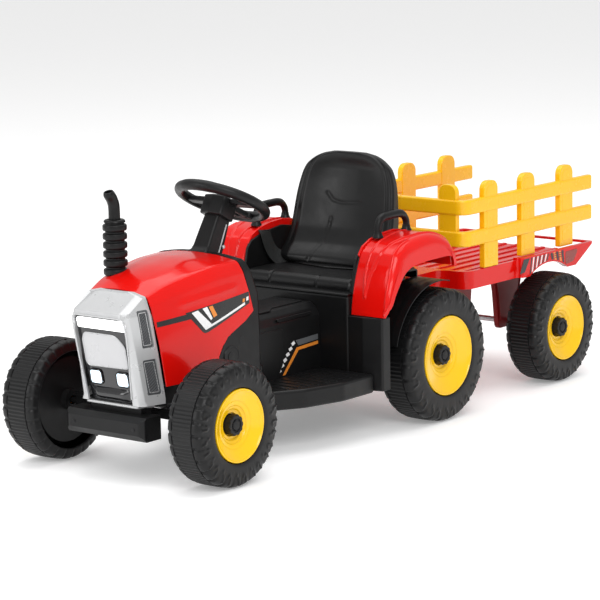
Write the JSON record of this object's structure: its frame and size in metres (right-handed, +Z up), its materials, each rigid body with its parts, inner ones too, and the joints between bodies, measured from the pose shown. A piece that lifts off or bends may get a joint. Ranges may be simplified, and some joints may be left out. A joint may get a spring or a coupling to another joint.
{
  "type": "toy tractor",
  "caption": "Ride-on toy tractor with a moulded seat, steered front wheels, ribbed plastic tyres, an upright exhaust and a hitched two-wheel trailer with fence rails.",
  "frame": {"origin": "on the ground, under the middle of the whole object, tractor and trailer together", "axes": "+Z up, the tractor faces -X, the driver's left is -Y"},
  "size_m": [1.36, 0.474, 0.5081],
  "materials": {
    "red_shell": "high-gloss moulded plastic",
    "yellow_plastic": "semi-gloss moulded plastic",
    "tyre_black": "hard moulded tread, satin with worn high spots",
    "black_body": "fine-grained moulded plastic, satin",
    "grip_black": "textured moulded grip",
    "silver_frame": "silver-painted plastic, metallic",
    "dark_panel": "glossy black plastic",
    "pale_panel": "smooth light grey plastic",
    "light_lens": "clear white lens over lamps",
    "vent_grey": "dark grey hatched plastic",
    "steel": "zinc-plated steel",
    "case_black": "plain moulded case",
    "hub_black": "glossy black plastic",
    "button_red": "gloss plastic"
  },
  "bodies": {
    "tractor": {"hood": "red_shell", "left_fender": "red_shell", "right_fender": "red_shell", "lower_body": "black_body", "front_bumper": "black_body", "muffler": "black_body", "exhaust_pipe": "black_body", "steering_column_cover": "black_body", "seat_deck": "black_body", "seat": "black_body", "left_wheel_arch": "black_body", "right_wheel_arch": "black_body", "left_handle": "grip_black", "right_handle": "grip_black", "grille_frame": "silver_frame", "grille_panel": "dark_panel", "display_panel": "pale_panel", "light_bar": "light_lens", "left_headlight": "light_lens", "right_headlight": "light_lens", "left_vent_insert": "vent_grey", "right_vent_insert": "vent_grey", "front_axle_beam": "steel", "rear_axle": "steel", "hitch_pin": "steel", "battery": "case_black", "left_gearbox": "case_black", "right_gearbox": "case_black"},
    "steering": {"steering_shaft": "steel", "steering_wheel": "grip_black"},
    "horn": {"horn_button": "case_black"},
    "left_steer": {"left_knuckle": "steel"},
    "right_steer": {"right_knuckle": "steel"},
    "track_rod": {"tie_rod": "steel"},
    "trailer": {"trailer_bed": "red_shell", "trailer_axle": "steel", "drawbar": "case_black", "left_fence": "yellow_plastic", "right_fence": "yellow_plastic"},
    "power": {"power_button": "button_red"},
    "direction": {"direction_switch": "case_black"},
    "pedal": {"foot_pedal": "case_black"},
    "front_left_wheel": {"front_left_tyre": "tyre_black", "front_left_rim": "yellow_plastic", "front_left_hub_cap": "hub_black"},
    "front_right_wheel": {"front_right_tyre": "tyre_black", "front_right_rim": "yellow_plastic", "front_right_hub_cap": "hub_black"},
    "rear_left_wheel": {"rear_left_tyre": "tyre_black", "rear_left_rim": "yellow_plastic", "rear_left_hub_cap": "hub_black"},
    "rear_right_wheel": {"rear_right_tyre": "tyre_black", "rear_right_rim": "yellow_plastic", "rear_right_hub_cap": "hub_black"},
    "trailer_left_wheel": {"trailer_left_tyre": "tyre_black", "trailer_left_rim": "yellow_plastic", "trailer_left_hub_cap": "hub_black"},
    "trailer_right_wheel": {"trailer_right_tyre": "tyre_black", "trailer_right_rim": "yellow_plastic", "trailer_right_hub_cap": "hub_black"}
  },
  "joints": [
    {"name": "steering_turn", "type": "hinge", "parent": "tractor", "child": "steering", "pos_m": [-0.322, 0, 0.457], "axis": [0.4695, 0, 0.8829], "range_deg": [-40, 40]},
    {"name": "left_kingpin", "type": "hinge", "parent": "tractor", "child": "left_steer", "pos_m": [-0.569, -0.135, 0.111], "axis": [0, 0, 1], "range_deg": [-19, 19]},
    {"name": "right_kingpin", "type": "hinge", "parent": "tractor", "child": "right_steer", "pos_m": [-0.569, 0.135, 0.111], "axis": [0, 0, 1], "range_deg": [-19, 19]},
    {"name": "track_rod_slide", "type": "slide", "parent": "tractor", "child": "track_rod", "axis": [0, 1, 0], "range_m": [-0.0165, 0.0165]},
    {"name": "hitch_yaw", "type": "hinge", "parent": "tractor", "child": "trailer", "pos_m": [0.16, 0, 0.15], "axis": [0, 0, 1], "range_deg": [-14, 14]},
    {"name": "horn_press", "type": "slide", "parent": "steering", "child": "horn", "axis": [-0.4695, 0, -0.8829], "range_m": [0, 0.002], "stiffness_N_per_m": 400},
    {"name": "power_press", "type": "slide", "parent": "tractor", "child": "power", "axis": [0, 0, -1], "range_m": [0, 0.0025], "stiffness_N_per_m": 400},
    {"name": "direction_rock", "type": "hinge", "parent": "tractor", "child": "direction", "pos_m": [-0.235, 0.02, 0.252], "axis": [0, 1, 0], "range_deg": [-15, 15]},
    {"name": "pedal_press", "type": "hinge", "parent": "tractor", "child": "pedal", "pos_m": [-0.268, 0.12, 0.126], "axis": [0, -1, 0], "range_deg": [0, 12], "stiffness_Nm_per_rad": 2},
    {"name": "front_left_spin", "type": "hinge", "parent": "left_steer", "child": "front_left_wheel", "pos_m": [-0.569, -0.197, 0.111], "axis": [0, 1, 0], "continuous": true},
    {"name": "front_right_spin", "type": "hinge", "parent": "right_steer", "child": "front_right_wheel", "pos_m": [-0.569, 0.197, 0.111], "axis": [0, 1, 0], "continuous": true},
    {"name": "rear_left_spin", "type": "hinge", "parent": "tractor", "child": "rear_left_wheel", "pos_m": [0.069, -0.187, 0.128], "axis": [0, 1, 0], "continuous": true},
    {"name": "rear_right_spin", "type": "hinge", "parent": "tractor", "child": "rear_right_wheel", "pos_m": [0.069, 0.187, 0.128], "axis": [0, 1, 0], "continuous": true},
    {"name": "trailer_left_spin", "type": "hinge", "parent": "trailer", "child": "trailer_left_wheel", "pos_m": [0.5065, -0.168, 0.111], "axis": [0, 1, 0], "continuous": true},
    {"name": "trailer_right_spin", "type": "hinge", "parent": "trailer", "child": "trailer_right_wheel", "pos_m": [0.5065, 0.168, 0.111], "axis": [0, 1, 0], "continuous": true}
  ],
  "couplings": [
    {"joint": "left_kingpin", "follows": "steering_turn", "ratio": 0.45},
    {"joint": "right_kingpin", "follows": "steering_turn", "ratio": 0.45},
    {"joint": "track_rod_slide", "follows": "steering_turn", "m_per_rad": 0.0225}
  ]
}
